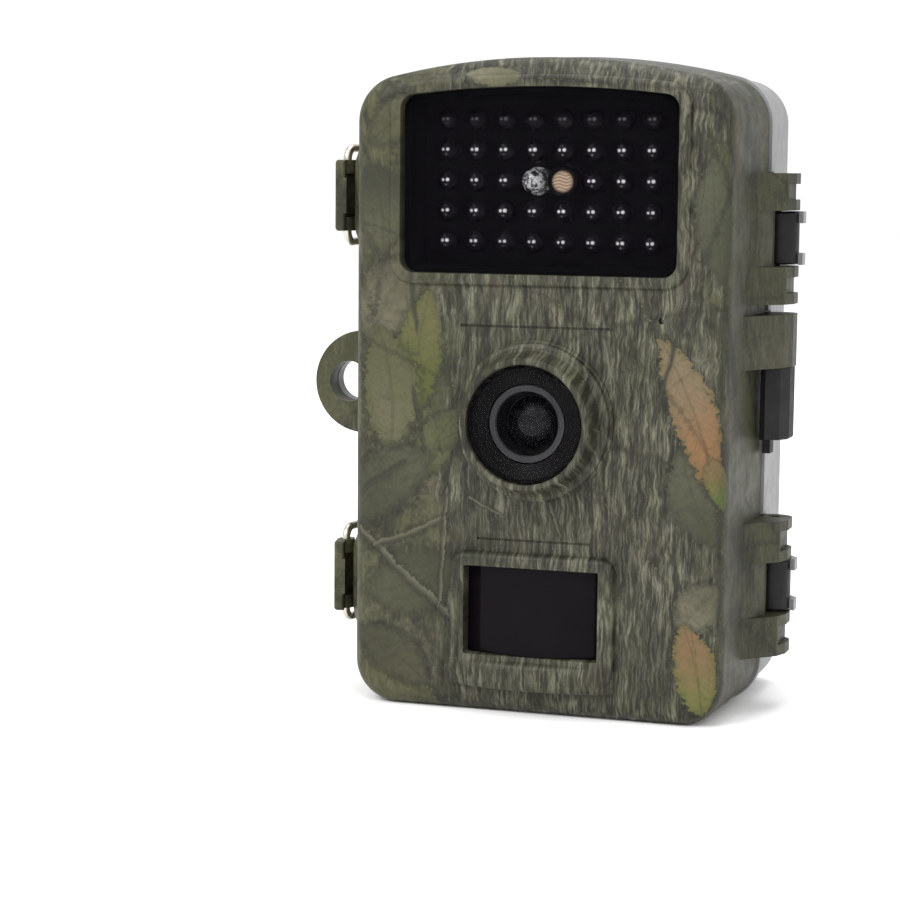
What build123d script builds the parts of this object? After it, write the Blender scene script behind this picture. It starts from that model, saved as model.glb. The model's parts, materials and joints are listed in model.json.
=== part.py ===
from build123d import *
import os
from math import sqrt, cos, sin, radians

# Trail camera, millimetres.  +Z up, the lens looks along -Y, +X is the hinge
# side.  y is measured from the front face while modelling; every piece is
# shifted at the end so that the origin is the mouth of the tripod socket.

# ---- driving dimensions ------------------------------------------------
H_TOP = 135.0          # height at the crown of the arched top
HW_SEAM = 41.0         # half width at the seam
HW_FRONT = 39.4        # half width at the front face
ARCH_R = 142.0         # radius of the arched top
R_TOP = 9.5            # upper corner radius
R_BOT = 9.0            # lower corner radius
WALL = 2.2             # wall of both shells
Y_SEAM = 30.0          # seam plane
SEAM_GAP = 0.8         # gap that the gasket fills
Y_BACK = 57.0          # back face of the cover
EDGE_R = 4.0           # rounding of the front edge
BACK_R = 7.0           # rounding of the back edge
SOCKET_Y = 16.0        # tripod socket behind the front face

WIN_HW, WIN_Z0, WIN_Z1 = 29.1, 90.6, 128.4    # infrared window
WIN_ARCH = 223.8
LED_PITCH, LED_Z, LED_ROWS, LED_COLS = 6.23, 109.4, 5, 8
LENS_Z = 60.9
PIR_HW, PIR_Z0, PIR_Z1 = 14.3, 12.3, 30.8
PIR_R = 39.2           # radius of the curved detector window

HX, HY = 44.0, 30.0    # hinge axis
KNUCKLE_R = 3.7
RELIEF_R = 4.0
PIN_R = 1.25
HINGES = {"upper": (84.7, 92.4, 103.9, 111.5), "lower": (11.5, 19.9, 31.3, 39.8)}
ARM_T = 2.4            # thickness of the cover's hinge arms
HOOD_Z0, HOOD_Z1, PLUG_Z0 = 71.7, 82.6, 56.7  # socket hood and its plug
PLUG_X, PLUG_Y = 44.6, 26.1

LATCHES = {"upper": 106.0, "lower": 24.9}
PX, PY = -45.4, 18.7   # lever pivot
BX, BY = -45.9, 13.2   # bail pivot on the lever
CX, CY = -42.4, 39.3   # bail crossbar behind the catch
LEVER_H = 7.45         # half height of a lever
BAIL_H = 9.9           # half height of a bail, centre line
WIRE_R = 0.9

EYE_X, EYE_Z, EYE_R = -46.5, 65.3, 11.2
EYE_HOLE_X, EYE_HOLE_R = -50.0, 4.45
EYE_Y0, EYE_Y1 = 25.2, 33.6

BRACKET_Y = 67.5       # rearmost teeth of the tree bracket
STRAP_W, STRAP_T = 27.0, 5.2                  # strap slot
PARTS = {}


# ---- helpers -----------------------------------------------------------
def slab(face, y0, y1):
    """Extrude an x-z outline from y1 forward to y0."""
    pl = Plane(origin=(0, y1, 0), x_dir=(1, 0, 0), z_dir=(0, -1, 0))
    return extrude(pl * face, amount=y1 - y0)


def prism(face, z0, z1):
    """Extrude an x-y outline from z0 up to z1."""
    return extrude(Pos(0, 0, z0) * face, amount=z1 - z0)


def blk(x0, x1, y0, y1, z0, z1):
    return Pos((x0 + x1) / 2, (y0 + y1) / 2, (z0 + z1) / 2) * Box(abs(x1 - x0), abs(y1 - y0), abs(z1 - z0))


def cyl_y(x, z, y0, y1, r):
    return Pos(x, (y0 + y1) / 2, z) * Rot(90, 0, 0) * Cylinder(r, abs(y1 - y0))


def cyl_z(x, y, z0, z1, r):
    return Pos(x, y, (z0 + z1) / 2) * Cylinder(r, abs(z1 - z0))


def cyl_x(y, z, x0, x1, r):
    return Pos((x0 + x1) / 2, y, z) * Rot(0, 90, 0) * Cylinder(r, abs(x1 - x0))


def poly(*pts):
    return make_face(Polyline(*[(p[0], p[1]) for p in pts], close=True))


def rrect(x0, x1, z0, z1, r):
    return Pos((x0 + x1) / 2, (z0 + z1) / 2) * RectangleRounded(x1 - x0, z1 - z0, r)


def turned(pts, z, x=0.0):
    """Revolve an (r, y) profile about an axis along Y at height z."""
    return Pos(x, 0, z) * revolve(poly(*pts), axis=Axis.Y)


def outline(hw, zb, zt, arch, rt, rb):
    """Upright case outline with an arched top."""
    ze = zt - (arch - sqrt(arch * arch - hw * hw))
    e = [Line((-hw, zb), (hw, zb)), Line((hw, zb), (hw, ze)),
         ThreePointArc((hw, ze), (0, zt), (-hw, ze)), Line((-hw, ze), (-hw, zb))]
    f = make_face(e)
    top = [v for v in f.vertices() if v.Y > (zb + zt) / 2]
    f = fillet(top, rt)
    bot = [v for v in f.vertices() if v.Y < zb + 0.01]
    return fillet(bot, rb)


def case(grow=0.0, y=0.0, sink=0.0):
    """Case outline at a depth, grown outwards by grow; sink lowers the underside."""
    t = min(max(y / Y_SEAM, 0.0), 1.0)
    hw = HW_FRONT + (HW_SEAM - HW_FRONT) * t
    return outline(hw + grow, -grow - sink, H_TOP - 0.8 * (1 - t) + grow, ARCH_R + grow, R_TOP + grow, R_BOT + grow)


def window(grow):
    return outline(WIN_HW + grow, WIN_Z0 - grow, WIN_Z1 + grow, WIN_ARCH + grow, 3.0 + grow, 3.0 + grow)


def at_y(face, y):
    return Plane(origin=(0, y, 0), x_dir=(1, 0, 0), z_dir=(0, -1, 0)) * face


def lofted(g0, y0, g1, y1, sink=0.0):
    return loft([at_y(case(g0, y0, sink), y0), at_y(case(g1, y1, sink), y1)])


def bend(shape, r, edges):
    """Fillet, giving back the plain shape if the kernel can't."""
    for k in (1.0, 0.8, 0.6, 0.4):
        try:
            s = fillet(edges, r * k)
            if s.is_valid and s.volume > 0:
                return s
        except Exception:
            pass
    print("fillet skipped", r)
    return shape


def edges_at_y(s, y, tol=0.02):
    return [e for e in s.edges() if abs(e.bounding_box().min.Y - y) < tol and abs(e.bounding_box().max.Y - y) < tol]


def one(s):
    """A single clean solid from a boolean result."""
    sol = s.solids()
    return max(sol, key=lambda q: q.volume) if len(sol) > 1 else sol[0]


def add(name, *shapes):
    """Store a node as one solid or a group of separate solids."""
    sol = []
    for s in shapes:
        sol += list(s.solids())
    PARTS[name] = sol


# ---- front shell -------------------------------------------------------
def hinge_ear(z0, z1, y_front):
    """Bracket that rises from the flank and wraps the hinge axis."""
    web = prism(poly((HW_FRONT - 1.0, y_front), (HX + KNUCKLE_R - 1.2, HY - 7.5), (HX + KNUCKLE_R, HY - 4.0),
                     (HX + KNUCKLE_R, HY), (HX - 2.4, HY), (HX - 2.4, HY - 0.4), (38.9, HY - 0.4), (38.9, y_front)), z0, z1)
    return web + cyl_z(HX, HY, z0, z1, KNUCKLE_R)


Y_FS = Y_SEAM - SEAM_GAP / 2          # rear rim of the front shell
Y_BC = Y_SEAM + SEAM_GAP / 2          # front rim of the cover

outer = lofted(0, 0, 0, Y_FS, 0.12)
outer = bend(outer, EDGE_R, edges_at_y(outer, 0))
body_front = outer
cav = lofted(-WALL, 2.4, -WALL, Y_FS)
cav = bend(cav, 2.5, edges_at_y(cav, 2.4))
cav_long = cav + slab(case(-WALL, Y_FS), Y_FS, Y_FS + 5)

# raised frame around the infrared window
bez = slab(window(2.4), -0.9, 2.4)
bez = bend(bez, 0.8, edges_at_y(bez, -0.9))
outer = outer + bez

# raised frame around the detector window, with a swollen lower lip
fr = slab(rrect(-17.5, 17.5, 6.6, 33.6, 3.2), -1.9, 1.5)
fr = bend(fr, 1.3, edges_at_y(fr, -1.9))
lip_f = make_face([ThreePointArc((-17.5, -1.0), (0, -3.4), (17.5, -1.0)), Line((17.5, -1.0), (17.5, 1.5)),
                   Line((17.5, 1.5), (-17.5, 1.5)), Line((-17.5, 1.5), (-17.5, -1.0))])
lip = prism(lip_f, 5.3, 11.2)
lip = bend(lip, 1.5, [e for e in lip.edges() if e.bounding_box().max.Y < 0 and abs(e.center().Z - 5.3) < 0.1 or
                      (e.bounding_box().max.Y < 0 and abs(e.center().Z - 11.2) < 0.1)])
outer = outer + fr + lip

# stepped ring at the root of the lens hood
outer = outer + turned([(0, 1.5), (16.6, 1.5), (16.6, -0.5), (16.1, -1.0), (0, -1.0)], LENS_Z)

# hinge brackets, socket hood
for z0, z1, z2, z3 in HINGES.values():
    outer = outer + hinge_ear(z0, z1, 14.0) + hinge_ear(z2, z3, 14.0)
outer = outer + hinge_ear(HOOD_Z0, HOOD_Z1, 9.0)
# webs beside the barrels
web_f = poly((39.0, 14.0), (42.2, 18.5), (43.6, 22.5), (43.6, 24.6), (40.5, 27.0), (39.0, 27.5))
for z0, z1, z2, z3 in HINGES.values():
    outer = outer + prism(web_f, z1 - 0.5, z2 + 0.5)

# latch lugs
LUG_Z0, LUG_Z1 = 4.0, 6.2
lug_f = poly((-40.0, PY - 4.6), (PX, PY - 2.4), (PX, PY + 2.4), (-40.0, PY + 4.6))
fittings = []
for zc in LATCHES.values():
    lugs = []
    for s in (-1, 1):
        a, b = sorted((zc + s * LUG_Z0, zc + s * LUG_Z1))
        lugs.append(prism(lug_f, a, b) + cyl_z(PX, PY, a, b, 2.4))
    # swelling of the wall under the lever, tapered at both ends
    bump = prism(poly((-39.0, 4.6), (-42.4, 8.8), (-43.5, 11.2), (-43.6, 14.6), (-42.6, 17.4), (-39.0, 20.6)), zc - 11.0, zc + 11.0)
    tap = poly((-38.0, zc - 10.6), (-40.8, zc - 9.9), (-43.4, zc - 5.8), (-43.9, zc - 4.6), (-43.9, zc + 4.6), (-43.4, zc + 5.8),
               (-40.8, zc + 9.9), (-38.0, zc + 10.6))
    bump = bump & slab(tap, 0, 30)
    mount = (bump + lugs[0] + lugs[1]) - body_front - cyl_z(PX, PY, zc - 8, zc + 8, 1.0)
    fittings.append(one(mount))

# front half of the padlock eye
eye_face = Pos(EYE_X, EYE_Z) * Circle(EYE_R) + rrect(-44.0, -38.9, EYE_Z - 13.0, EYE_Z + 13.0, 1.0)
eye_f = slab(eye_face, EYE_Y0, Y_FS)
eye_f = bend(eye_f, 1.2, [e for e in edges_at_y(eye_f, EYE_Y0) if e.center().X < -45])
eye_f = eye_f - body_front - cyl_y(EYE_HOLE_X, EYE_Z, EYE_Y0 - 2, Y_FS + 2, EYE_HOLE_R)
fittings.append(one(eye_f))

# planar underside
outer = outer - blk(-60, 60, -10, 40, -5, 0)
shell = outer - cav_long
# bosses inside the cavity
boss = cyl_z(0, SOCKET_Y, 1.0, 10.4, 7.0)
boss_pts = [(-33.5, 12), (33.5, 12), (-33.5, 78.5), (33.5, 78.5)]
shell = shell + boss
for bx, bz in boss_pts:
    shell = shell + cyl_y(bx, bz, 1.8, 23.0, 2.9)

# openings
shell = shell - slab(window(0), -2, 3.2)
shell = shell - cyl_y(0, LENS_Z, -2, 5, 12.9)
shell = shell - slab(rrect(-PIR_HW, PIR_HW, PIR_Z0, PIR_Z1, 0.3), -5, 5)
shell = shell - cyl_z(0, SOCKET_Y, -1, 9.4, 4.5)
for bx, bz in boss_pts:
    shell = shell - cyl_y(bx, bz, 12.0, 24.0, 1.1)
# microphone hole
shell = shell - cyl_y(26.0, 82.0, -1, 4, 0.6)
# thin lines above and below the lens
shell = shell - blk(-16, 16, -0.1, 0.4, 79.8, 80.3) - blk(-12, 12, -0.1, 0.4, 36.0, 36.5)
# hinge bores, room for the cover's arms and barrels, ribs in the knuckles
for z0, z1, z2, z3 in HINGES.values():
    shell = shell - cyl_z(HX, HY, z0 - 1, z3 + 1, PIN_R)
    shell = shell - cyl_z(HX, HY, z1, z2, RELIEF_R)
    for a, b in ((z1, z1 + 0.5 + ARM_T), (z2 - 0.5 - ARM_T, z2)):
        shell = shell - (cyl_z(HX, HY, a, b, 5.1) & blk(40.9, 52, 18, 40, a, b))
    for a, b in ((z0, z1), (z2, z3)):
        shell = shell - blk(HX + 2.3, HX + 6, HY - 7.0, HY + 5, a + 2.2, b - 2.2)
# socket in the underside of the hood
shell = shell - cyl_z(PLUG_X, PLUG_Y, HOOD_Z0 - 1, HOOD_Z1 - 2.4, 2.2)
front_shell = one(shell)
add("front_shell", front_shell)
add("shell_fittings", *fittings)


# ---- back cover --------------------------------------------------------
Y_STRAIGHT = 49.0
cov = slab(case(0, Y_SEAM), Y_BC, Y_BACK)
cov = bend(cov, BACK_R, edges_at_y(cov, Y_BACK))
# raised lip along the rim
lipring = slab(case(0.5, Y_SEAM), Y_BC, Y_BC + 3.2)
lipring = lipring & blk(-45, 45, 20, 60, 0, 140)
cov = cov + lipring
cavb = slab(case(-WALL, Y_SEAM), Y_BC, Y_BACK - WALL)
cavb = bend(cavb, BACK_R - WALL, edges_at_y(cavb, Y_BACK - WALL))
# hinge arms
body_rear = cov
arm_f = poly((40.2, HY + 2.0), (HX + 4.7, HY - 1.1), (HX + 4.7, HY + 2.0), (HX + 2.4, HY + 5.0), (HX - 1.0, HY + 6.5), (38.9, HY + 9.0), (38.9, HY + 3.0))
for z0, z1, z2, z3 in HINGES.values():
    for a, b in ((z1 + 0.25, z1 + 0.25 + ARM_T), (z2 - 0.25 - ARM_T, z2 - 0.25)):
        cov = cov + prism(arm_f, a, b)
    # spine that carries both arms
    cov = cov + prism(poly((40.0, HY + 3.6), (41.6, HY + 4.2), (41.9, HY + 9.0), (40.0, HY + 10.5)), z1 + 0.25, z2 - 0.25)
# rear half of the padlock eye
eye_b = slab(eye_face, Y_BC, EYE_Y1)
eye_b = bend(eye_b, 1.2, [e for e in edges_at_y(eye_b, EYE_Y1) if e.center().X < -45])
cfit = [one(eye_b - body_rear - cyl_y(EYE_HOLE_X, EYE_Z, Y_BC - 2, EYE_Y1 + 2, EYE_HOLE_R))]
# catches for the wire bails
for zc in LATCHES.values():
    catch = prism(poly((-39.8, 33.8), (-41.4, 34.4), (-43.5, 36.4), (-43.6, 38.0), (-42.8, 38.1), (-39.8, 38.1)), zc - 7.5, zc + 7.5)
    cfit.append(one(catch - body_rear))
# shallow pad under the tree bracket
cov = cov + slab(rrect(-27, 27, 30, 106, 5), Y_BACK - 1.0, Y_BACK + 0.5)
cover = cov - cavb
for z0, z1, z2, z3 in HINGES.values():
    cover = cover - cyl_z(HX, HY, z0 - 0.25, z1 + 0.25, RELIEF_R) - cyl_z(HX, HY, z2 - 0.25, z3 + 0.25, RELIEF_R)
    cover = cover - cyl_z(HX, HY, z1, z2, KNUCKLE_R + 0.04)
cover = cover - cyl_z(HX, HY, HOOD_Z0 - 0.3, HOOD_Z1 + 0.3, RELIEF_R)
BR_SCREWS = [(-20, 36), (20, 36), (-20, 100), (20, 100)]
for sx, sz in BR_SCREWS:
    cover = cover + (cyl_y(sx, sz, Y_BACK - 4.6, Y_BACK - 1.5, 3.2))
for sx, sz in BR_SCREWS:
    cover = cover - cyl_y(sx, sz, Y_BACK - 3.8, Y_BACK + 2, 1.25)
back_cover = one(cover)
add("back_cover", back_cover)
add("cover_fittings", *cfit)

# gasket between the rims
seal = slab(case(-1.05, Y_SEAM), Y_FS, Y_BC) - slab(case(-WALL + 0.05, Y_SEAM), Y_FS - 1, Y_BC + 1)
add("case_seal", one(seal))

# ---- hinges ------------------------------------------------------------
pins, bars = [], []
for key, (z0, z1, z2, z3) in HINGES.items():
    a, b = z1 + 0.3, z2 - 0.3
    bar = cyl_z(HX, HY, a, b, KNUCKLE_R)
    bar = bend(bar, 0.5, [e for e in bar.edges() if e.geom_type == GeomType.CIRCLE])
    bar = bar - cyl_z(HX, HY, a - 1, b + 1, PIN_R + 0.06)
    bars.append(one(bar))
    pins.append(cyl_z(HX, HY, z0 + 0.6, z3 - 0.6, PIN_R))
add("hinge_barrels", *bars)
add("hinge_pins", *pins)

# ---- latches -----------------------------------------------------------
lpins = []
for key, zc in LATCHES.items():
    prof = make_face([
        ThreePointArc((-44.3, 8.3), (-45.5, 13.0), (-44.6, 16.0)), Line((-44.6, 16.0), (PX, PY)),
        Line((PX, PY), (PX - 2.3, PY)), ThreePointArc((PX - 2.3, PY), (-48.1, 13.6), (-46.4, 7.6)),
        Line((-46.4, 7.6), (-44.3, 8.3))])
    low = poly((-43, 6), (-50, 6), (-50, 15.6), (-43, 15.6))
    plate = prism(prof & low, zc - LEVER_H, zc + LEVER_H)
    plate = bend(plate, 0.7, [e for e in plate.edges() if e.center().Y < 8.6 or (abs(abs(e.center().Z - zc) - LEVER_H) < 0.01 and e.center().X < -46.5)])
    mid = prism(prof, zc - 3.75, zc + 3.75)
    lev = plate + mid + cyl_z(PX, PY, zc - 3.75, zc + 3.75, 2.4)
    for s in (-1, 1):
        a, b = sorted((zc + s * 4.6, zc + s * LEVER_H))
        lev = lev + cyl_z(BX, BY, a, b, 1.8)
    lev = lev - cyl_z(PX, PY, zc - 5, zc + 5, 1.06)
    for s in (-1, 1):
        a, b = sorted((zc + s * 4.9, zc + s * (LEVER_H + 1)))
        lev = lev - cyl_z(BX, BY, a, b, WIRE_R + 0.06)
    # finger grooves
    for k in range(3):
        lev = lev - cyl_z(-48.05 + 0.42 * k, 11.2 - 1.35 * k, zc - 5.6, zc + 5.6, 0.35)
    add("latch_lever_" + key, one(lev))
    lpins.append(cyl_z(PX, PY, zc - LUG_Z1 - 0.3, zc + LUG_Z1 + 0.3, 1.0))
    # wire bail: two inward tips, two legs, a crossbar
    ux, uy = CX - BX, CY - BY
    ln = sqrt(ux * ux + uy * uy)
    pl = Plane(origin=(BX, BY, zc), x_dir=(ux / ln, uy / ln, 0), z_dir=(uy / ln, -ux / ln, 0))
    path2 = FilletPolyline((0, -5.1), (0, -BAIL_H), (ln, -BAIL_H), (ln, BAIL_H), (0, BAIL_H), (0, 5.1), radius=2.4)
    s = 1 if pl.y_dir.Z > 0 else -1
    path = pl * path2
    start = pl.from_local_coords(Vector(0, -5.1, 0))
    bail = sweep(Plane(origin=start, z_dir=(0, 0, -s)) * Circle(WIRE_R), path=path)
    add("latch_bail_" + key, one(bail))
add("latch_pins", *lpins)

# ---- infrared compartment ----------------------------------------------
add("ir_window", one(slab(window(0), 0.6, 2.1)))
tray = slab(window(0), 2.2, 12.0) - slab(window(-1.3), 2.0, 13.0)
flange = (slab(window(2.2), 3.25, 4.6) - slab(window(-0.1), 3.0, 5.0)) & cav_long
add("led_tray", one(tray + flange))
board = slab(window(-0.2), 12.05, 13.65)
add("led_board", board)
leds = []
for i in range(LED_COLS):
    for j in range(LED_ROWS):
        if j == 2 and i in (3, 4):
            continue
        x, z = (i - 3.5) * LED_PITCH, LED_Z + (j - 2) * LED_PITCH
        leds.append(turned([(0, 12.05), (2.9, 12.05), (2.9, 11.05), (2.5, 11.05), (2.5, 9.1), (2.35, 8.24), (1.92, 7.5),
                            (1.25, 6.93), (0.65, 6.69), (0, 6.6)], z, x))
add("ir_leds", *leds)
xs, xl = -0.5 * LED_PITCH, 0.5 * LED_PITCH
add("status_led", turned([(0, 12.05), (2.9, 12.05), (2.9, 11.05), (2.5, 11.05), (2.5, 7.9), (2.35, 7.1), (1.9, 6.3),
                          (1.25, 5.75), (0.6, 5.5), (0, 5.4)], LED_Z, xs))
add("light_sensor", turned([(0, 12.05), (2.5, 12.05), (2.5, 7.6), (2.2, 7.3), (0, 7.3)], LED_Z, xl))
add("sensor_ring", turned([(2.55, 12.05), (3.3, 12.05), (3.3, 7.4), (3.0, 6.9), (2.55, 6.9)], LED_Z, xl))

# ---- lens --------------------------------------------------------------
add("lens_hood", turned([(12.15, -8.3), (12.5, -8.6), (13.1, -8.6), (13.5, -8.1), (14.6, -3.4), (15.3, -2.6), (16.0, -2.3),
                         (16.1, -1.0), (12.9, -1.0), (12.9, 3.6), (12.15, 3.6)], LENS_Z))
add("lens_window", turned([(0, -8.1), (12.0, -8.1), (12.0, -7.0), (0, -7.0)], LENS_Z))
add("lens_barrel", turned([(12.1, -7.0), (12.1, 3.2), (6.0, 3.2), (6.0, 0.6), (5.4, 0.6), (5.4, -1.8), (6.45, -5.1),
                           (8.0, -5.1), (8.2, -5.6), (11.2, -6.6), (11.4, -7.0)], LENS_Z))
add("lens_ring", turned([(6.5, -5.15), (7.95, -5.15), (7.8, -5.6), (6.7, -5.6)], LENS_Z))
add("lens_elements", turned([(0, -2.9), (1.4, -2.77), (2.8, -2.38), (4.0, -1.75), (5.35, -0.6), (5.35, 0.4), (0, 0.4)], LENS_Z),
    turned([(0, 4.0), (3.95, 4.6), (3.95, 6.4), (0, 7.0)], LENS_Z))
add("lens_holder", turned([(0, 3.25), (6.6, 3.25), (6.6, 9.0), (4.6, 9.0), (4.6, 11.0), (0, 11.0)], LENS_Z) -
    turned([(0, 3.0), (4.0, 3.0), (4.0, 12.0), (0, 12.0)], LENS_Z))
add("image_sensor", blk(-3.6, 3.6, 11.05, 12.4, LENS_Z - 3.2, LENS_Z + 3.2))
add("sensor_board", blk(-12, 12, 12.45, 13.65, LENS_Z - 11, LENS_Z + 11))

# ---- heat detector -----------------------------------------------------
arc = [ThreePointArc((-PIR_HW + 0.1, 1.5), (0, -1.2), (PIR_HW - 0.1, 1.5)), Line((PIR_HW - 0.1, 1.5), (PIR_HW - 0.1, 2.4)),
       ThreePointArc((PIR_HW - 0.1, 2.4), (0, -0.3), (-PIR_HW + 0.1, 2.4)), Line((-PIR_HW + 0.1, 2.4), (-PIR_HW + 0.1, 1.5))]
pl_lens = prism(make_face(arc), PIR_Z0 + 0.1, PIR_Z1 - 0.1)
pl_fl = blk(-16.2, 16.2, 2.45, 3.4, PIR_Z0 - 1.6, PIR_Z1 + 1.6) - blk(-13.2, 13.2, 2, 4, PIR_Z0 + 1.2, PIR_Z1 - 1.2)
add("pir_lens", one(pl_lens))
pirz = 21.5
add("pir_sensor", turned([(0, 10.0), (4.1, 10.0), (4.1, 13.4), (4.6, 13.4), (4.6, 14.0), (0, 14.0)], pirz))
add("pir_holder", one(pl_fl), blk(-9, 9, 9.5, 14.0, pirz - 8, pirz + 8) - cyl_y(0, pirz, 9, 15, 4.7))

# ---- inner module, seen when the cover is open ---------------------------
MX, MZ0, MZ1, MY0, MY1 = 36.4, 9.0, 123.0, 25.0, 42.0
chas = slab(rrect(-MX, MX, MZ0, MZ1, 6.0), MY0, MY1)
chas = bend(chas, 1.2, edges_at_y(chas, MY1))
chas = chas - blk(-29.6, 29.6, 25.8, 45, 13.0, 69.5)                    # cell bay
chas = chas - blk(-31.0, 31.0, 40.3, 45, MZ0 - 1, 70.3)                 # lid track
chas = chas - blk(-34.0, 15.6, 25.8, 40.6, 81.2, 119.0)                 # screen pocket
chas = chas - slab(rrect(-31.2, 12.8, 84.2, 115.8, 1.5), 40, 45)        # screen opening
chas = chas - blk(17.0, 34.6, 25.8, 40.4, 82.8, 119.0)                  # key pocket
KEYS = {"menu": (25.8, 86.2), "up": (25.8, 113.4), "down": (25.8, 94.2), "left": (20.1, 103.8), "right": (31.5, 103.8),
        "ok": (25.8, 103.8)}
KEY_R = {"ok": 2.0}
for key, (kx, kz) in KEYS.items():
    chas = chas - cyl_y(kx, kz, 40, 45, KEY_R.get(key, 2.3) + 0.12)
chas = chas - blk(-30.2, -13.8, 33.9, 40.4, 71.3, 79.2)                 # switch pocket
chas = chas - blk(-27.3, -18.7, 40, 45, 74.15, 76.35)                   # switch slot
chas = chas - blk(-8.0, 6.0, 24, 45, 72.0, 77.0)                        # card slot
chas = chas - blk(12.0, 21.0, 24, 45, 72.0, 77.0)                       # USB port
for bx, bz in boss_pts:
    chas = chas - cyl_y(bx, bz, 24, 45, 1.3) - cyl_y(bx, bz, 40.0, 45, 2.4)
add("inner_chassis", one(chas))

add("lcd_panel", blk(-33.6, 15.2, 36.6, 38.8, 81.6, 118.6))
add("lcd_frame", blk(-33.9, 15.5, 38.9, 40.5, 81.3, 118.9) - blk(-30.8, 12.4, 38, 41, 84.6, 115.4))
add("lcd_window", one(slab(rrect(-31.1, 12.7, 84.3, 115.7, 1.45), 40.65, 41.7)))
add("keypad_board", blk(17.2, 34.4, 36.4, 38.0, 83.0, 118.8))
for key, (kx, kz) in KEYS.items():
    r = KEY_R.get(key, 2.3)
    fl = r + (0.4 if key == "ok" else 0.7)
    add("button_" + key, turned([(0, 38.75), (fl, 38.75), (fl, 40.25), (r, 40.25), (r, 42.7), (r - 0.35, 43.1),
                                 (r * 0.5, 42.95), (0, 42.85)], kz, kx))
add("switch_body", blk(-29.6, -14.4, 34.2, 39.0, 72.0, 78.5))
knob = blk(-27.1, -25.0, 39.1, 42.1, 74.3, 76.2) + blk(-27.9, -24.2, 42.1, 43.6, 73.0, 77.5)
knob = bend(knob, 0.4, edges_at_y(knob, 43.6)) - blk(-26.25, -25.85, 43.3, 44, 72, 78)
add("switch_knob", one(knob))
slot = blk(-7.9, 5.9, 27.0, 41.6, 72.1, 76.9) - blk(-6.6, 4.6, 28.0, 42, 74.05, 75.05)
add("card_slot", slot)
add("memory_card", blk(-6.5, 4.5, 28.1, 43.1, 74.2, 74.9))
usb = blk(12.1, 20.9, 33.0, 41.7, 72.2, 76.8) - blk(12.7, 20.3, 35.5, 42, 72.9, 76.1) + blk(13.6, 19.4, 35.4, 41.0, 74.0, 74.9)
add("usb_port", one(usb))

lid = blk(-30.8, 30.8, 40.4, 42.0, 13.3, 70.1)
for k in range(5):
    lid = lid + prism(poly((-9, 41.9), (9, 41.9), (8.6, 42.6), (-8.6, 42.6)), 60.0 - 2.2 * k, 61.1 - 2.2 * k)
lid = lid + blk(-26, 26, 41.9, 42.35, 17.0, 17.8) + blk(-26, 26, 41.9, 42.35, 45.0, 45.8) + \
    blk(-26, -25.2, 41.9, 42.35, 17.0, 45.8) + blk(25.2, 26, 41.9, 42.35, 17.0, 45.8)
add("battery_lid", one(lid))

CELL_R, CELL_L = 7.1, 49.3
cells, springs, plates = [], [], []
for i in range(4):
    x = -22.2 + 14.8 * i
    up = i % 2 == 0
    z0 = 18.55 if up else 14.65
    c = cyl_z(x, 33.0, z0, z0 + CELL_L, CELL_R)
    c = bend(c, 0.6, [e for e in c.edges() if e.geom_type == GeomType.CIRCLE])
    n0, n1 = (z0 + CELL_L, z0 + CELL_L + 1.15) if up else (z0 - 1.15, z0)
    cells.append(one(c + cyl_z(x, 33.0, n0, n1, 2.6)))
    s0, s1 = (13.5, 18.5) if up else (64.0, 69.0)
    sp = cyl_z(x, 33.0, s0, s1, 3.6) - cyl_z(x, 33.0, s0 - 1, s1 + 1, 3.0)
    for k in range(3):
        sp = sp - (cyl_z(x, 33.0, s0 + 0.7 + 1.5 * k, s0 + 1.3 + 1.5 * k, 5.0) - cyl_z(x, 33.0, s0, s1, 3.2))
    springs.append(one(sp))
for zc0 in (13.05, 69.05):
    for x0, x1 in ((-29.2, -15.2), (-14.4, 14.4), (15.2, 29.2)) if zc0 < 20 else ((-29.2, -0.4), (0.4, 29.2)):
        plates.append(blk(x0, x1, 26.5, 39.5, zc0, zc0 + 0.4))
add("battery_cells", *cells)
add("battery_springs", *springs)
add("battery_contacts", *plates)

mb = blk(-35.6, 35.6, 23.1, 24.7, 8.0, 121.0)
for bx, bz in boss_pts:
    mb = mb - cyl_y(bx, bz, 22, 26, 1.5)
add("main_board", one(mb))
add("board_chips", blk(-9, 9, 21.2, 23.05, 78, 86), blk(14, 24, 21.6, 23.05, 60, 70), blk(-24, -16, 21.4, 23.05, 62, 72),
    blk(18, 25, 20.0, 23.05, 40, 47), cyl_y(-24, 48, 17.5, 23.05, 3.1), cyl_y(24, 30, 17.5, 23.05, 3.1))
screws = []
for bx, bz in boss_pts:
    sc = cyl_y(bx, bz, 13.0, 40.05, 1.1) + turned([(0, 40.0), (2.2, 40.0), (2.2, 40.9), (1.5, 41.5), (0, 41.6)], bz, bx)
    sc = sc - blk(bx - 1.1, bx + 1.1, 40.9, 42, bz - 0.25, bz + 0.25) - blk(bx - 0.25, bx + 0.25, 40.9, 42, bz - 1.1, bz + 1.1)
    screws.append(one(sc))
add("chassis_screws", *screws)
add("speaker", turned([(0, 15.0), (9.5, 15.0), (9.5, 17.0), (6.0, 17.0), (6.0, 20.0), (0, 20.0)], 38.0, -19.0))
add("microphone", cyl_y(26.0, 82.0, 2.45, 4.6, 2.2))

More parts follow.
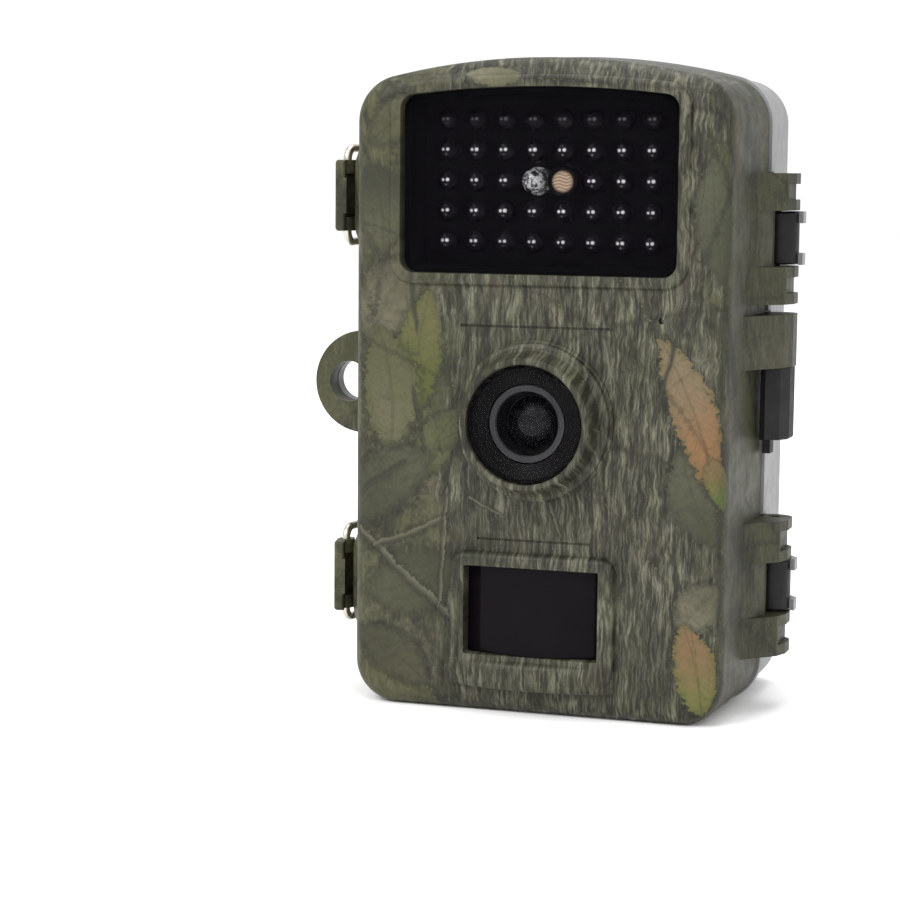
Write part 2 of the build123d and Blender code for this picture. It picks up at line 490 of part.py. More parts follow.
# ---- socket, plug --------------------------------------------------------
add("dc_jack", cyl_z(PLUG_X, PLUG_Y, 74.0, HOOD_Z1 - 2.4, 0.7) + cyl_z(PLUG_X, PLUG_Y, HOOD_Z1 - 3.8, HOOD_Z1 - 2.4, 2.15))
plug = prism(poly((41.75, 22.6), (43.0, 21.6), (46.0, 22.2), (47.6, 24.6), (47.7, 29.0), (47.0, 29.7), (42.4, 29.7), (41.75, 29.0)),
             PLUG_Z0, HOOD_Z0 - 0.1)
plug = bend(plug, 0.7, [e for e in plug.edges() if e.center().X > 43 and abs(e.center().Z - PLUG_Z0) < 0.01])
plug = plug + cyl_z(PLUG_X, PLUG_Y, HOOD_Z0 - 1, 77.6, 1.95) + prism(poly((41.75, 26.0), (43.4, 26.0), (43.4, 29.6), (41.75, 29.6)), 53.5, PLUG_Z0 + 1)
plug = plug - cyl_z(PLUG_X, PLUG_Y, 69.0, 80, 0.95)
add("port_plug", one(plug))

# ---- tripod insert, tree bracket ------------------------------------------
ins = cyl_z(0, SOCKET_Y, 0.0, 9.4, 4.5) - cyl_z(0, SOCKET_Y, -1, 8.2, 2.6)
add("tripod_insert", one(ins))
br = slab(rrect(-26, 26, 31, 105, 5), Y_BACK + 0.5, Y_BACK + 3.0)
br = bend(br, 0.8, edges_at_y(br, Y_BACK + 3.0))
wall_pts = [(Y_BACK + 2.0, 40.0), (BRACKET_Y - 3.5, 40.0)]
n_t = 9
for k in range(n_t):
    z0 = 42.0 + k * 52.0 / n_t
    wall_pts += [(BRACKET_Y - 2.2, z0), (BRACKET_Y, z0 + 26.0 / n_t)]
wall_pts += [(BRACKET_Y - 2.2, 94.0), (BRACKET_Y - 3.5, 96.0), (Y_BACK + 2.0, 96.0)]
plw = Plane(origin=(0, 0, 0), x_dir=(0, 1, 0), z_dir=(1, 0, 0))
for x0 in (-22.5, 19.0):
    w = extrude(Plane(origin=(x0, 0, 0), x_dir=(0, 1, 0), z_dir=(1, 0, 0)) * poly(*wall_pts), amount=3.5)
    w = w - blk(x0 - 1, x0 + 5, Y_BACK + 3.0, Y_BACK + 3.0 + STRAP_T, 68 - STRAP_W / 2, 68 + STRAP_W / 2)
    br = br + w
br = br + blk(-20, 20, Y_BACK + 2, Y_BACK + 5.5, 88.0, 91.0) + blk(-20, 20, Y_BACK + 2, Y_BACK + 5.5, 45.0, 48.0)
for sx, sz in BR_SCREWS:
    br = br - cyl_y(sx, sz, Y_BACK, Y_BACK + 12, 1.4)
add("tree_bracket", one(br))
bs = []
for sx, sz in BR_SCREWS:
    y0 = Y_BACK + 3.0
    sc = cyl_y(sx, sz, Y_BACK - 3.7, y0 + 0.1, 1.25) + turned([(0, y0), (2.5, y0), (2.5, y0 + 0.8), (1.7, y0 + 1.6), (0, y0 + 1.8)], sz, sx)
    sc = sc - blk(sx - 1.3, sx + 1.3, y0 + 0.9, y0 + 3, sz - 0.3, sz + 0.3) - blk(sx - 0.3, sx + 0.3, y0 + 0.9, y0 + 3, sz - 1.3, sz + 1.3)
    bs.append(one(sc))
add("bracket_screws", *bs)

# ---- write ----------------------------------------------------------------
os.makedirs("parts", exist_ok=True)
for name, sol in PARTS.items():
    moved = [Pos(0, -SOCKET_Y, 0) * s for s in sol]
    export_step(moved[0] if len(moved) == 1 else Compound(children=moved), "parts/" + name + ".step")
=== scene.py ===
import json
import math
import random

import bmesh
import bpy
from mathutils import Matrix, Vector


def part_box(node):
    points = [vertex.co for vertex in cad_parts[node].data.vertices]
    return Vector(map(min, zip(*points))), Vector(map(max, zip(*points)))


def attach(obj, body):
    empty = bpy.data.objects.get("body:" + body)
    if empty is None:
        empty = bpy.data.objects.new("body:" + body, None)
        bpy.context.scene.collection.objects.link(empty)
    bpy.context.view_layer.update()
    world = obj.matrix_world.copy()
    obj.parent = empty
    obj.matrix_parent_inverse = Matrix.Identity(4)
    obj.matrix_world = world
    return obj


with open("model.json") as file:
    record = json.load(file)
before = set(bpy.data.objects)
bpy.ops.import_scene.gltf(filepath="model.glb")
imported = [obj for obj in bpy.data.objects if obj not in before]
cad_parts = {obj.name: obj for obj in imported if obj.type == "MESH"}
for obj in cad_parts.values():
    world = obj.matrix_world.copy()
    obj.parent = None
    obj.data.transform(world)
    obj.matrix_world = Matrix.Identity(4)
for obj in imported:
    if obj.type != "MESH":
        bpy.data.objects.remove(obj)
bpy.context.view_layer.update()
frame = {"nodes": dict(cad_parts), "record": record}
N = frame["nodes"]
SCENE = bpy.context.scene
OY = 0.016            # front face is 16 mm in front of the origin


def P(x, y, z):
    """Millimetres, y from the front face, to metres in the row frame."""
    return Vector((x / 1000.0, y / 1000.0 - OY, z / 1000.0))


# ---------------------------------------------------------------- camera
def make_camera():
    az, el, roll = math.radians(16.45), math.radians(4.91), math.radians(0.75)
    dist, fpx = 0.4934, 2429.37
    tgt = P(0, 0, 70.07)
    back = Vector((math.sin(az) * math.cos(el), -math.cos(az) * math.cos(el), math.sin(el)))
    right = Vector((math.cos(az), math.sin(az), 0))
    up = right.cross(-back)
    # the view turned clockwise by the roll
    r2 = right * math.cos(roll) + up * math.sin(roll)
    u2 = up * math.cos(roll) - right * math.sin(roll)
    dx, dy = 535.21 - 450.0, 450.0 - 376.55
    fwd = (-back * fpx - r2 * dx - u2 * dy).normalized()
    r3 = (r2 - fwd * r2.dot(fwd)).normalized()
    u3 = r3.cross(fwd)
    cam = bpy.data.objects.new("camera", bpy.data.cameras.new("camera"))
    SCENE.collection.objects.link(cam)
    m = Matrix((r3, u3, -fwd)).transposed().to_4x4()
    m.translation = tgt + back * dist
    cam.matrix_world = m
    cam.data.sensor_width = 36.0
    cam.data.lens = 36.0 * fpx / 900.0
    cam.data.clip_start, cam.data.clip_end = 0.01, 20
    SCENE.camera = cam


make_camera()


# ---------------------------------------------------------------- node builder
class NB:
    """Small helper that chains shader nodes."""

    def __init__(self, name, rough=0.5, **kw):
        self.m = bpy.data.materials.new(name)
        self.m.use_nodes = True
        self.t = self.m.node_tree
        self.t.nodes.clear()
        self.out = self.t.nodes.new("ShaderNodeOutputMaterial")
        self.b = self.t.nodes.new("ShaderNodeBsdfPrincipled")
        self.t.links.new(self.b.outputs[0], self.out.inputs[0])
        self.b.inputs["Roughness"].default_value = rough
        for k, v in kw.items():
            self.b.inputs[k.replace("_", " ")].default_value = v

    def put(self, sock, v):
        if isinstance(v, bpy.types.NodeSocket):
            self.t.links.new(v, sock)
        elif isinstance(v, (tuple, list)) and len(v) == 3 and sock.type == "RGBA":
            sock.default_value = (*v, 1)
        else:
            sock.default_value = v

    def math(self, op, a, b=None, c=None, clamp=False):
        n = self.t.nodes.new("ShaderNodeMath")
        n.operation, n.use_clamp = op, clamp
        for i, v in enumerate((a, b, c)):
            if v is not None:
                self.put(n.inputs[i], v)
        return n.outputs[0]

    def vmath(self, op, a, b=None, scale=None):
        n = self.t.nodes.new("ShaderNodeVectorMath")
        n.operation = op
        self.put(n.inputs[0], a)
        if b is not None:
            self.put(n.inputs[1], b)
        if scale is not None:
            self.put(n.inputs["Scale"], scale)
        return n.outputs["Value"] if op in ("LENGTH", "DISTANCE", "DOT_PRODUCT") else n.outputs[0]

    def coord(self, which="Object"):
        return self.t.nodes.new("ShaderNodeTexCoord").outputs[which]

    def normal(self):
        return self.t.nodes.new("ShaderNodeTexCoord").outputs["Normal"]

    def sep(self, v):
        n = self.t.nodes.new("ShaderNodeSeparateXYZ")
        self.put(n.inputs[0], v)
        return n.outputs

    def comb(self, x=0.0, y=0.0, z=0.0):
        n = self.t.nodes.new("ShaderNodeCombineXYZ")
        for i, v in enumerate((x, y, z)):
            self.put(n.inputs[i], v)
        return n.outputs[0]

    def mapping(self, v, loc=(0, 0, 0), rot=(0, 0, 0), scale=(1, 1, 1), kind="POINT"):
        n = self.t.nodes.new("ShaderNodeMapping")
        n.vector_type = kind
        self.put(n.inputs["Vector"], v)
        n.inputs["Location"].default_value = loc
        n.inputs["Rotation"].default_value = rot
        n.inputs["Scale"].default_value = scale
        return n.outputs[0]

    def noise(self, v, scale, detail=4.0, rough=0.55, dist=0.0, color=False):
        n = self.t.nodes.new("ShaderNodeTexNoise")
        self.put(n.inputs["Vector"], v)
        n.inputs["Scale"].default_value = scale
        n.inputs["Detail"].default_value = detail
        n.inputs["Roughness"].default_value = rough
        n.inputs["Distortion"].default_value = dist
        return n.outputs["Color"] if color else n.outputs[0]

    def voronoi(self, v, scale, feature="F1", out="Distance", rand=1.0):
        n = self.t.nodes.new("ShaderNodeTexVoronoi")
        n.feature = feature
        self.put(n.inputs["Vector"], v)
        n.inputs["Scale"].default_value = scale
        n.inputs["Randomness"].default_value = rand
        return n.outputs[out]

    def ramp(self, v, stops, mode="LINEAR"):
        n = self.t.nodes.new("ShaderNodeValToRGB")
        n.color_ramp.interpolation = mode
        e = n.color_ramp.elements
        while len(e) < len(stops):
            e.new(0.5)
        for i, (p, c) in enumerate(stops):
            e[i].position = p
            e[i].color = (*c, 1) if isinstance(c, (tuple, list)) else (c, c, c, 1)
        self.put(n.inputs[0], v)
        return n.outputs[0]

    def step(self, v, lo, hi, a=0.0, b=1.0, smooth=True):
        n = self.t.nodes.new("ShaderNodeMapRange")
        n.interpolation_type = "SMOOTHSTEP" if smooth else "LINEAR"
        self.put(n.inputs["Value"], v)
        n.inputs["From Min"].default_value = lo
        n.inputs["From Max"].default_value = hi
        n.inputs["To Min"].default_value = a
        n.inputs["To Max"].default_value = b
        return n.outputs[0]

    def mix(self, f, a, b, mode="MIX"):
        n = self.t.nodes.new("ShaderNodeMix")
        n.data_type, n.blend_type = "RGBA", mode
        self.put(n.inputs[0], f)
        self.put(n.inputs[6], a)
        self.put(n.inputs[7], b)
        return n.outputs[2]

    def bump(self, h, strength=0.3, dist=0.0003):
        n = self.t.nodes.new("ShaderNodeBump")
        n.inputs["Strength"].default_value = strength
        n.inputs["Distance"].default_value = dist
        self.put(n.inputs["Height"], h)
        self.put(self.b.inputs["Normal"], n.outputs[0])

    def base(self, c):
        self.put(self.b.inputs["Base Color"], c)

    def rough(self, v):
        self.put(self.b.inputs["Roughness"], v)


# ---------------------------------------------------------------- camouflage
def wrapped(nb):
    """Front-face coordinates in mm that carry on round the edges onto the flanks, top and base."""
    x, y, z = nb.sep(nb.coord())[:3]
    X = nb.math("MULTIPLY", x, 1000.0)
    Z = nb.math("MULTIPLY", z, 1000.0)
    Y = nb.math("MAXIMUM", nb.math("MULTIPLY_ADD", y, 1000.0, OY * 1000.0), 0.0)
    ax = nb.math("ABSOLUTE", X)
    side = nb.math("MULTIPLY", nb.step(ax, 35.0, 41.0), nb.math("SIGN", X))
    s = nb.math("MULTIPLY_ADD", side, Y, X)
    tz = nb.math("SUBTRACT", nb.step(Z, 124.0, 133.0), nb.step(Z, 1.0, 8.0, 1.0, 0.0))
    t = nb.math("MULTIPLY_ADD", tz, Y, Z)
    return s, t, Y


def camo_material():
    nb = NB("camo_film", rough=0.5)
    s, t, Y = wrapped(nb)
    v = nb.comb(s, t, 0.0)
    # wobble so that nothing is ruler straight
    wob = nb.noise(v, 0.09, 3.0, 0.6, color=True)
    wv = nb.vmath("SCALE", nb.vmath("SUBTRACT", wob, (0.5, 0.5, 0.5)), scale=2.0)
    vw = nb.vmath("ADD", v, wv)
    # ---- bark: broken vertical streaks over furrows
    flow = nb.noise(nb.mapping(vw, scale=(0.05, 0.02, 1)), 1.0, 2.0, 0.5)
    sw, tw, _ = nb.sep(vw)[:3]
    lean = nb.math("MULTIPLY_ADD", nb.math("SUBTRACT", flow, 0.5), nb.math("MULTIPLY", tw, 0.05), sw)
    vb = nb.comb(lean, tw, 0.0)
    n1 = nb.noise(nb.mapping(vb, scale=(0.62, 0.075, 1)), 1.0, 6.0, 0.66, 0.0)
    n2 = nb.noise(nb.mapping(vb, loc=(31, 7, 0), scale=(1.9, 0.19, 1)), 1.0, 5.0, 0.64, 0.0)
    n3 = nb.noise(nb.mapping(vb, loc=(3, 17, 0), scale=(0.28, 0.05, 1)), 1.0, 3.0, 0.55)
    cell = nb.voronoi(nb.mapping(vb, scale=(0.62, 0.12, 1)), 1.0, "DISTANCE_TO_EDGE")
    furrow = nb.step(cell, 0.0, 0.11, 1.0, 0.0)
    tone = nb.math("ADD", nb.math("MULTIPLY", n1, 0.62), nb.math("MULTIPLY", n2, 0.38))
    bark = nb.ramp(tone, [(0.34, (0.010, 0.010, 0.007)), (0.43, (0.036, 0.036, 0.024)), (0.49, (0.078, 0.078, 0.054)),
                          (0.54, (0.150, 0.148, 0.104)), (0.60, (0.33, 0.325, 0.24)), (0.72, (0.55, 0.54, 0.42))])
    bark = nb.mix(nb.step(n3, 0.40, 0.66, 0.0, 0.55), bark, nb.mix(0.5, bark, (0.060, 0.066, 0.024)))
    bark = nb.mix(nb.step(n3, 0.30, 0.46, 0.40, 0.0), bark, (0.028, 0.028, 0.021))
    bark = nb.mix(nb.math("MULTIPLY", furrow, nb.step(n1, 0.40, 0.60, 0.75, 0.10)), bark, (0.014, 0.013, 0.009))
    # patches: shaded, mossy and warm areas of the trunk
    p1 = nb.noise(nb.mapping(vw, loc=(12, 55, 0), scale=(0.075, 0.045, 1)), 1.0, 4.0, 0.6)
    p2 = nb.noise(nb.mapping(vw, loc=(60, 5, 0), scale=(0.13, 0.06, 1)), 1.0, 4.0, 0.6)
    bark = nb.mix(nb.step(p1, 0.36, 0.50, 0.62, 0.0), bark, nb.mix(0.62, bark, (0.016, 0.016, 0.012)))
    bark = nb.mix(nb.step(p1, 0.53, 0.66, 0.0, 0.55), bark, nb.mix(nb.step(tone, 0.45, 0.55), bark, (0.36, 0.35, 0.27)))
    bark = nb.mix(nb.step(p2, 0.52, 0.66, 0.0, 0.45), bark, nb.mix(0.5, bark, (0.115, 0.135, 0.045)))
    bark = nb.mix(nb.step(p2, 0.34, 0.47, 0.40, 0.0), bark, nb.mix(0.5, bark, (0.17, 0.135, 0.095)))
    # lighter, busier streaks down the middle right, darker at the right edge
    midr = nb.math("MULTIPLY", nb.step(s, -16.0, 4.0), nb.step(s, 30.0, 40.0, 1.0, 0.0))
    bark = nb.mix(nb.math("MULTIPLY", midr, 0.22), bark, nb.mix(nb.step(n2, 0.46, 0.58), (0.05, 0.048, 0.033), (0.34, 0.32, 0.25)))
    # ---- smooth leafy ground on the left and the right flank
    g1 = nb.noise(vw, 0.075, 3.0, 0.5, 0.3)
    g2 = nb.noise(nb.mapping(vw, loc=(9, 40, 0)), 0.55, 4.0, 0.55)
    ground = nb.ramp(g1, [(0.30, (0.050, 0.053, 0.028)), (0.45, (0.098, 0.098, 0.052)), (0.55, (0.150, 0.143, 0.088)), (0.70, (0.205, 0.185, 0.120))])
    ground = nb.mix(nb.step(g2, 0.36, 0.62, 0.0, 0.60), ground, (0.050, 0.050, 0.032))
    g3 = nb.noise(nb.mapping(vw, loc=(5, 90, 0), rot=(0, 0, 0.5), scale=(0.9, 0.22, 1)), 1.0, 5.0, 0.65)
    ground = nb.mix(nb.step(g3, 0.50, 0.66, 0.0, 0.65), ground, (0.235, 0.220, 0.150))
    ground = nb.mix(nb.step(g3, 0.34, 0.47, 0.65, 0.0), ground, (0.030, 0.031, 0.020))
    # soft leaf facets: every cell has its own tone and a dark edge
    vc = nb.mapping(vw, rot=(0, 0, 0.5), scale=(0.085, 0.05, 1))
    ctone = nb.voronoi(vc, 1.0, "F1", "Color")
    cr = nb.sep(ctone)[0]
    cedge = nb.voronoi(vc, 1.0, "DISTANCE_TO_EDGE")
    ground = nb.mix(nb.step(cr, 0.2, 0.9, 0.0, 0.42), ground, (0.165, 0.170, 0.070))
    ground = nb.mix(nb.step(cr, 0.0, 0.35, 0.5, 0.0), ground, (0.038, 0.042, 0.026))
    ground = nb.mix(nb.step(cedge, 0.0, 0.045, 0.22, 0.0), ground, (0.022, 0.022, 0.014))
    edge_n = nb.math("MULTIPLY_ADD", nb.math("SUBTRACT", nb.noise(v, 0.16, 4.0, 0.65), 0.5), 26.0, s)
    left = nb.step(edge_n, -23.5, -17.0, 1.0, 0.0)
    right = nb.math("MULTIPLY", nb.step(edge_n, 35.0, 41.0), 0.8)
    col = nb.mix(nb.math("MAXIMUM", left, right), bark, ground)
    rag = nb.math("SUBTRACT", nb.noise(v, 0.75, 3.0, 0.6), 0.5)

    def over(base, top, f):
        """top laid over base by f."""
        return nb.vmath("ADD", base, nb.vmath("SCALE", nb.vmath("SUBTRACT", top, base), scale=f))

    def leaf(col, cx, cz, ln, wd, ang, c1, c2, c3, bend=0.0, veins=1.0, fade=1.0):
        """One leaf: c1 at the stem half, c2 at the tip half, c3 along the rim; a midrib and side veins."""
        q = nb.mapping(v, loc=(cx, cz, 0), rot=(0, 0, math.radians(ang)), scale=(ln / 2, wd / 2, 1), kind="TEXTURE")
        a, b, _ = nb.sep(q)[:3]
        aa = nb.math("MULTIPLY", a, a)
        b = nb.math("MULTIPLY_ADD", aa, bend, b)
        ab = nb.math("ABSOLUTE", b)
        prof = nb.math("POWER", nb.math("MAXIMUM", nb.math("SUBTRACT", 1.0, aa), 0.0), 0.85)
        gap = nb.math("MULTIPLY_ADD", rag, 0.9, nb.math("SUBTRACT", prof, ab))
        mask = nb.step(gap, 0.0, 0.16, 0.0, fade)
        body = nb.mix(nb.step(nb.math("MULTIPLY_ADD", rag, 0.6, a), -0.5, 0.6), c1, c2)
        body = nb.mix(nb.step(gap, 0.05, 0.42, 0.55, 0.0), body, c3)
        body = nb.mix(nb.step(g2, 0.4, 0.7, 0.0, 0.35), body, c3)
        vein = nb.math("PINGPONG", nb.math("MULTIPLY_ADD", ab, -1.5, nb.math("MULTIPLY", a, 4.5)), 0.5)
        body = nb.mix(nb.math("MULTIPLY", nb.step(vein, 0.0, 0.11, 0.2 * veins, 0.0), nb.step(gap, 0.1, 0.3)), body, (0.055, 0.048, 0.026))
        body = nb.mix(nb.step(ab, 0.02, 0.09, 0.38 * veins, 0.0), body, (0.060, 0.050, 0.028))
        shade = nb.step(gap, -0.30, 0.04, 0.0, 0.45 * fade)
        col = over(col, (0.016, 0.016, 0.011), shade)
        return over(col, body, mask)

    def twig(col, x0, z0, x1, z1, wd, c1, c2, bend=0.0):
        ln = math.hypot(x1 - x0, z1 - z0)
        q = nb.mapping(vw, loc=((x0 + x1) / 2, (z0 + z1) / 2, 0), rot=(0, 0, math.atan2(z1 - z0, x1 - x0)), scale=(ln / 2, wd / 2, 1), kind="TEXTURE")
        a, b, _ = nb.sep(q)[:3]
        aa = nb.math("MULTIPLY", a, a)
        b = nb.math("MULTIPLY_ADD", aa, bend, b)
        ab = nb.math("ABSOLUTE", b)
        gap = nb.math("MULTIPLY_ADD", rag, 2.6, nb.math("SUBTRACT", nb.step(aa, 0.45, 1.0, 0.9, -0.6), ab))
        body = nb.mix(nb.step(b, -0.8, 0.7), c2, c1)
        col = over(col, (0.022, 0.022, 0.015), nb.step(gap, -1.2, 0.1, 0.0, 0.5))
        return over(col, body, nb.step(gap, 0.0, 0.45, 0.0, 0.8))

    tan, orange, olive = (0.33, 0.245, 0.155), (0.38, 0.175, 0.075), (0.105, 0.115, 0.035)
    pale, moss, dim = (0.235, 0.215, 0.145), (0.155, 0.175, 0.040), (0.065, 0.068, 0.040)
    # left side, top to bottom
    col = leaf(col, -32.0, 85.0, 22, 15, 62, pale, (0.17, 0.155, 0.10), dim, 0.2, 0.5)
    col = leaf(col, -33.5, 104.0, 20, 12, 100, (0.13, 0.13, 0.075), dim, (0.05, 0.052, 0.03), -0.2, 0.8)
    col = leaf(col, -30.0, 122.0, 17, 9, 35, (0.12, 0.12, 0.06), (0.16, 0.15, 0.09), (0.045, 0.047, 0.027), 0.2, 1.0)
    col = leaf(col, -25.2, 74.0, 27, 11, 83, moss, (0.20, 0.195, 0.075), olive, 0.15, 0.6)
    col = leaf(col, -31.0, 66.5, 27, 13, 96, (0.20, 0.19, 0.11), (0.15, 0.15, 0.075), olive, -0.25, 0.7)
    col = leaf(col, -21.0, 56.0, 17, 9, 60, (0.18, 0.185, 0.085), (0.13, 0.14, 0.06), (0.07, 0.075, 0.035), 0.2, 0.8)
    col = leaf(col, -32.0, 47.5, 24, 13, 40, (0.085, 0.09, 0.05), (0.12, 0.12, 0.07), (0.04, 0.043, 0.026), 0.3, 0.7)
    col = leaf(col, -26.0, 26.0, 22, 14, 20, (0.115, 0.115, 0.065), (0.08, 0.083, 0.045), (0.05, 0.05, 0.03), -0.2, 0.4)
    col = leaf(col, -30.0, 11.0, 20, 10, -35, (0.09, 0.09, 0.05), (0.12, 0.115, 0.065), (0.035, 0.035, 0.022), 0.2, 0.9)
    # right side, top to bottom
    col = leaf(col, 45.0, 121.0, 24, 10, 85, (0.15, 0.125, 0.065), (0.10, 0.095, 0.045), dim, 0.2, 0.8)
    col = leaf(col, 36.5, 102.0, 26, 9, 96, (0.10, 0.105, 0.065), (0.13, 0.135, 0.085), dim, 0.2, 0.6)
    col = leaf(col, 33.5, 46.5, 22, 12, -68, (0.135, 0.135, 0.085), (0.095, 0.098, 0.058), (0.05, 0.052, 0.033), -0.2, 0.6)
    col = leaf(col, 34.5, 24.5, 14, 10, 50, (0.255, 0.235, 0.165), (0.17, 0.16, 0.105), dim, 0.2, 0.4)
    col = leaf(col, 33.2, 63.5, 35, 10.0, -69, tan, (0.43, 0.21, 0.095), (0.20, 0.17, 0.060), 0.32, 0.6)
    col = leaf(col, 38.8, 49.8, 12, 6.5, -68, (0.30, 0.20, 0.09), (0.17, 0.22, 0.050), (0.14, 0.17, 0.045), 0.1, 0.5, 0.9)
    col = leaf(col, 34.6, 11.4, 21, 10.0, -78, (0.36, 0.21, 0.11), (0.27, 0.25, 0.08), (0.135, 0.175, 0.045), 0.2, 0.6)
    # patch on the top band
    col = leaf(col, -9.5, 130.6, 13, 5, -4, (0.27, 0.255, 0.16), (0.20, 0.19, 0.11), (0.11, 0.11, 0.06), 0.0, 0.3)
    # twigs
    lt, ls, dk, dl = (0.25, 0.235, 0.165), (0.075, 0.072, 0.048), (0.050, 0.050, 0.032), (0.075, 0.072, 0.046)
    col = twig(col, -41, 39, -15, 17.5, 2.0, lt, ls, 0.15)
    col = twig(col, -37, 32, -16, 41.5, 1.5, lt, ls, -0.3)
    col = twig(col, -6, 41, -15, 45.5, 0.9, lt, ls, 0.2)
    col = twig(col, 6, 36.5, 3, 45, 0.8, lt, ls, 0.3)
    col = twig(col, -18.2, 49, -20.5, 19, 1.2, lt, ls, 0.4)
    col = twig(col, -40, 43.5, -27, 52.5, 1.0, dk, dl, 0.4)
    col = twig(col, -27.5, 95, -25.5, 77, 0.9, dk, dl, -0.5)
    col = twig(col, -23.5, 52, -26.5, 68, 0.8, dk, dl, 0.5)
    col = twig(col, 27.5, 38, 31.5, 27, 0.8, dk, dl, 0.4)
    col = twig(col, -3.5, 48, -1.5, 36, 0.9, lt, ls, 0.3)
    col = twig(col, 29.6, 80, 24.5, 60, 0.8, dk, dl, 0.5)
    # fine stalks and cracks everywhere
    vf = nb.mapping(vw, rot=(0, 0, 0.62), scale=(0.42, 0.16, 1))
    f1 = nb.voronoi(vf, 1.0, "DISTANCE_TO_EDGE")
    spot = nb.step(nb.noise(nb.mapping(v, loc=(70, 5, 0)), 0.11, 2.0, 0.5), 0.50, 0.60)
    col = nb.mix(nb.math("MULTIPLY", nb.step(f1, 0.0, 0.035, 0.22, 0.0), spot), col, (0.020, 0.020, 0.013))
    fine = nb.noise(nb.mapping(vb, scale=(5.0, 1.2, 1)), 1.0, 3.0, 0.7)
    col = nb.mix(nb.step(fine, 0.30, 0.70, 0.20, 0.0), col, (0.020, 0.020, 0.014))
    col = nb.mix(nb.step(fine, 0.58, 0.78, 0.0, 0.22), col, (0.36, 0.34, 0.26))
    # a little scuffing
    sc = nb.noise(nb.coord(), 900.0, 3.0, 0.6)
    col = nb.mix(nb.step(sc, 0.66, 0.80, 0.0, 0.25), col, (0.30, 0.29, 0.24))
    # painted shade: the right flank darkened where it turns away from the light
    col = nb.mix(nb.step(s, 37.0, 43.0, 0.0, 0.35), col, (0.030, 0.031, 0.022))
    col = nb.mix(1.0, col, (0.435, 0.44, 0.415), "MULTIPLY")
    nb.base(col)
    nb.b.inputs["Specular IOR Level"].default_value = 0.25
    nb.rough(nb.step(nb.noise(nb.coord(), 220.0, 4.0, 0.6), 0.3, 0.7, 0.44, 0.60))
    grain = nb.noise(nb.coord(), 2600.0, 2.0, 0.5)
    h = nb.math("ADD", nb.math("MULTIPLY", grain, 0.35), nb.math("MULTIPLY", tone, 0.65))
    nb.bump(h, 0.22, 0.00025)
    return nb.m


def plastic(name, dark, light, rough=0.45, grain=1800.0, bump=0.18, spec=0.5, coat=0.0, mottling=60.0):
    """Moulded plastic: fine grain, cloudy tone, faint scuffs."""
    nb = NB(name, rough=rough)
    c = nb.coord()
    cloud = nb.noise(c, mottling, 4.0, 0.6)
    col = nb.mix(nb.step(cloud, 0.35, 0.65), dark, light)
    scuff = nb.noise(nb.mapping(c, rot=(0.3, 0.2, 0.6), scale=(1, 6, 1)), 260.0, 5.0, 0.7)
    lift = tuple(min(1.0, k * 1.5) for k in light)
    col = nb.mix(nb.step(scuff, 0.62, 0.75, 0.0, 0.35), col, lift)
    nb.base(col)
    nb.rough(nb.step(nb.noise(c, 300.0, 3.0, 0.6), 0.3, 0.7, rough - 0.06, rough + 0.08))
    nb.b.inputs["Specular IOR Level"].default_value = spec
    if coat:
        nb.b.inputs["Coat Weight"].default_value = coat
        nb.b.inputs["Coat Roughness"].default_value = 0.08
    if bump:
        nb.bump(nb.noise(c, grain, 2.0, 0.6), bump, 0.0002)
    return nb.m


def metal(name, dark, light, rough=0.3, stretch=(1, 1, 14), scale=240.0):
    nb = NB(name, rough=rough, Metallic=1.0)
    c = nb.coord()
    n = nb.noise(nb.mapping(c, scale=stretch), scale, 4.0, 0.6)
    st = nb.noise(c, 90.0, 5.0, 0.65)
    col = nb.mix(n, dark, light)
    col = nb.mix(nb.step(st, 0.58, 0.72, 0.0, 0.4), col, tuple(k * 0.55 for k in dark))
    nb.base(col)
    nb.rough(nb.step(n, 0.3, 0.7, rough - 0.08, rough + 0.12))
    nb.bump(n, 0.12, 0.0001)
    return nb.m


# ---------------------------------------------------------------- more materials
def board_material(name):
    nb = NB(name, rough=0.35)
    c = nb.coord()
    x, y, z = nb.sep(c)[:3]
    tr = nb.voronoi(nb.mapping(c, scale=(1, 0.01, 1)), 520.0, "DISTANCE_TO_EDGE", rand=0.6)
    col = nb.mix(nb.step(tr, 0.02, 0.05, 1.0, 0.0), (0.006, 0.030, 0.014), (0.015, 0.065, 0.030))
    pads = nb.voronoi(nb.mapping(c, scale=(1, 0.01, 1)), 260.0, "F1", rand=0.35)
    col = nb.mix(nb.step(pads, 0.10, 0.13, 1.0, 0.0), col, (0.42, 0.38, 0.28))
    nb.base(col)
    nb.bump(tr, 0.2, 0.0002)
    return nb.m


def window_material():
    nb = NB("infrared_window", rough=0.06)
    c = nb.coord()
    n = nb.noise(c, 70.0, 3.0, 0.5)
    nb.base(nb.mix(n, (0.0035, 0.003, 0.0045), (0.006, 0.005, 0.007)))
    nb.b.inputs["Specular IOR Level"].default_value = 0.05
    nb.b.inputs["Alpha"].default_value = 0.20
    nb.rough(nb.step(nb.noise(c, 500.0, 3.0, 0.6), 0.35, 0.75, 0.10, 0.16))
    nb.m.surface_render_method = "BLENDED"
    return nb.m


def clear_material(name, tint, alpha, rough=0.05, spec=0.5):
    nb = NB(name, rough=rough)
    c = nb.coord()
    n = nb.noise(c, 120.0, 3.0, 0.5)
    nb.base(nb.mix(n, tint, tuple(k * 1.25 for k in tint)))
    nb.b.inputs["Alpha"].default_value = alpha
    nb.b.inputs["Specular IOR Level"].default_value = spec
    nb.rough(nb.step(n, 0.3, 0.7, rough, rough * 1.6))
    nb.m.surface_render_method = "BLENDED"
    return nb.m


